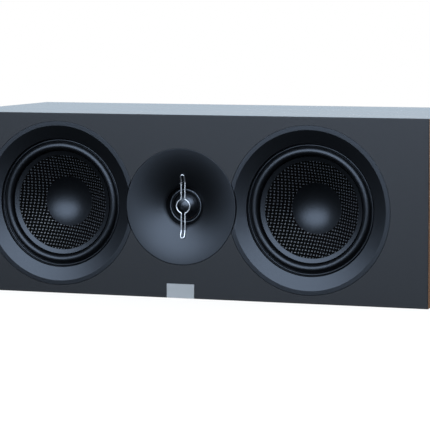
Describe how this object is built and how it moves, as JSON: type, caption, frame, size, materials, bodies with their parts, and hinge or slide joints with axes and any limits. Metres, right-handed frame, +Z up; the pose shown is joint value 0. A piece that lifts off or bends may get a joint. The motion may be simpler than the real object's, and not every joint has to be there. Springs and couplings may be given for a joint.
{
  "type": "center channel speaker",
  "caption": "Low wide loudspeaker cabinet with woven-cone woofers either side of a waveguide tweeter behind a wire guard, with ports and binding posts at the rear.",
  "frame": {"origin": "bottom centre of the whole speaker", "axes": "+X along the width, +Y towards the back, +Z up"},
  "size_m": [0.5, 0.2384, 0.18],
  "materials": {
    "walnut_wrap": "walnut-grained wrap, satin",
    "baffle_paint": "satin dark blue-grey paint on board",
    "raw_board": "bare board",
    "rear_board": "black paint on board",
    "satin_plastic": "moulded, satin",
    "black_plastic": "moulded, fine texture",
    "edge_rubber": "satin",
    "woven_cone": "coarse plain weave, coated",
    "cap_plastic": "smooth satin",
    "dome_cloth": "coated fine cloth",
    "spider_cloth": "resin-treated cloth",
    "damping_wool": "fibre wadding",
    "bright_wire": "polished",
    "brushed_plate": "brushed",
    "basket_steel": "black coat",
    "zinc_steel": "zinc plated",
    "dark_screw": "black oxide",
    "ferrite": "ground ferrite",
    "copper_coil": "enamelled copper",
    "gilt_brass": "gold plated",
    "red_knob": "moulded",
    "black_knob": "moulded",
    "board_laminate": "laminate",
    "capacitor_film": "film wrap",
    "resistor_body": "cement"
  },
  "bodies": {
    "cabinet": {"badge_plate": "brushed_plate", "brace_left": "raw_board", "brace_right": "raw_board", "cabinet_sleeve": "walnut_wrap", "crossover_board": "board_laminate", "crossover_capacitors": "capacitor_film", "crossover_coils": "copper_coil", "crossover_resistors": "resistor_body", "crossover_standoffs": "black_plastic", "cup_screws": "dark_screw", "front_baffle": "baffle_paint", "lining_left": "damping_wool", "lining_right": "damping_wool", "negative_post": "gilt_brass", "port_left": "black_plastic", "port_right": "black_plastic", "positive_post": "gilt_brass", "post_nuts": "zinc_steel", "rear_panel": "rear_board", "terminal_cup": "black_plastic", "tweeter_back_plate": "zinc_steel", "tweeter_face_ring": "black_plastic", "tweeter_guard": "bright_wire", "tweeter_magnet": "ferrite", "tweeter_screws": "dark_screw", "tweeter_surround": "dome_cloth", "tweeter_top_plate": "zinc_steel", "tweeter_waveguide": "satin_plastic", "woofer_left_back_plate": "zinc_steel", "woofer_left_basket": "basket_steel", "woofer_left_magnet": "ferrite", "woofer_left_screws": "dark_screw", "woofer_left_spider": "spider_cloth", "woofer_left_surround": "edge_rubber", "woofer_left_top_plate": "zinc_steel", "woofer_left_trim_ring": "satin_plastic", "woofer_right_back_plate": "zinc_steel", "woofer_right_basket": "basket_steel", "woofer_right_magnet": "ferrite", "woofer_right_screws": "dark_screw", "woofer_right_spider": "spider_cloth", "woofer_right_surround": "edge_rubber", "woofer_right_top_plate": "zinc_steel", "woofer_right_trim_ring": "satin_plastic"},
    "woofer_left_diaphragm": {"woofer_left_cone": "woven_cone", "woofer_left_dust_cap": "cap_plastic", "woofer_left_voice_coil": "copper_coil"},
    "woofer_right_diaphragm": {"woofer_right_cone": "woven_cone", "woofer_right_dust_cap": "cap_plastic", "woofer_right_voice_coil": "copper_coil"},
    "tweeter_diaphragm": {"tweeter_dome": "dome_cloth", "tweeter_voice_coil": "copper_coil"},
    "positive_clamp": {"positive_washer": "gilt_brass"},
    "positive_grip": {"positive_knob": "red_knob"},
    "negative_clamp": {"negative_washer": "gilt_brass"},
    "negative_grip": {"negative_knob": "black_knob"}
  },
  "joints": [
    {"name": "woofer_left_travel", "type": "slide", "parent": "cabinet", "child": "woofer_left_diaphragm", "axis": [0, -1, 0], "range_m": [-0.004, 0.004], "stiffness_N_per_m": 1000, "deforming": ["woofer_left_surround", "woofer_left_spider"]},
    {"name": "woofer_right_travel", "type": "slide", "parent": "cabinet", "child": "woofer_right_diaphragm", "axis": [0, -1, 0], "range_m": [-0.004, 0.004], "stiffness_N_per_m": 1000, "deforming": ["woofer_right_surround", "woofer_right_spider"]},
    {"name": "tweeter_travel", "type": "slide", "parent": "cabinet", "child": "tweeter_diaphragm", "axis": [0, -1, 0], "range_m": [-0.0004, 0.0004], "stiffness_N_per_m": 400, "deforming": ["tweeter_surround"]},
    {"name": "positive_lift", "type": "slide", "parent": "cabinet", "child": "positive_clamp", "axis": [0, 1, 0], "range_m": [0, 0.00351]},
    {"name": "positive_turn", "type": "hinge", "parent": "positive_clamp", "child": "positive_grip", "pos_m": [0.00953, 0.1, 0.09], "axis": [0, 1, 0], "range_deg": [0, 1260]},
    {"name": "negative_lift", "type": "slide", "parent": "cabinet", "child": "negative_clamp", "axis": [0, 1, 0], "range_m": [0, 0.00351]},
    {"name": "negative_turn", "type": "hinge", "parent": "negative_clamp", "child": "negative_grip", "pos_m": [-0.00953, 0.1, 0.09], "axis": [0, 1, 0], "range_deg": [0, 1260]}
  ],
  "couplings": [
    {"joint": "positive_lift", "follows": "positive_turn", "m_per_rad": 0.00015915},
    {"joint": "negative_lift", "follows": "negative_turn", "m_per_rad": 0.00015915}
  ]
}
